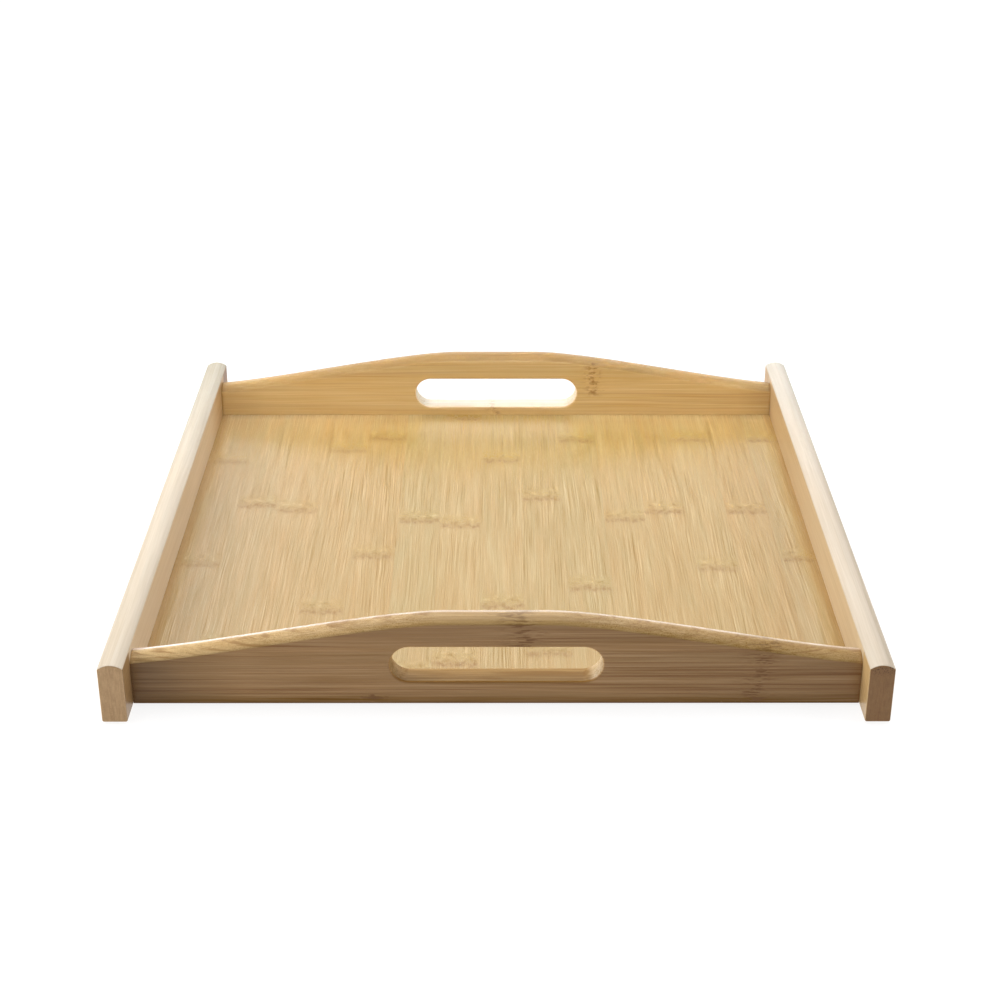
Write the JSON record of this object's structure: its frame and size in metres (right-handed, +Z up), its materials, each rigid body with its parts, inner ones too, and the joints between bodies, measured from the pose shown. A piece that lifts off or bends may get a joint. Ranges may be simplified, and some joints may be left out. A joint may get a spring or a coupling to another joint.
{
  "type": "serving tray",
  "caption": "Low square bamboo serving tray with straight side rails, raised curved handle boards with hand slots, and a flat laminated panel.",
  "frame": {"origin": "middle of the tray, at the height of the surface that it stands on", "axes": "+Z up, front handle board towards -Y, right rail towards +X"},
  "size_m": [0.4, 0.4, 0.0502],
  "materials": {
    "rail_bamboo": "satin clear-coated bamboo, laminated",
    "board_bamboo": "satin clear-coated bamboo, edge-laminated",
    "panel_bamboo": "satin clear-coated bamboo, laminated in strips",
    "dowel_wood": "bare turned wood"
  },
  "bodies": {
    "root": {"bottom_panel": "panel_bamboo", "left_rail": "rail_bamboo", "right_rail": "rail_bamboo", "front_handle_board": "board_bamboo", "rear_handle_board": "board_bamboo", "front_left_dowel_1": "dowel_wood", "front_left_dowel_2": "dowel_wood", "front_right_dowel_1": "dowel_wood", "front_right_dowel_2": "dowel_wood", "rear_left_dowel_1": "dowel_wood", "rear_left_dowel_2": "dowel_wood", "rear_right_dowel_1": "dowel_wood", "rear_right_dowel_2": "dowel_wood"}
  },
  "joints": []
}
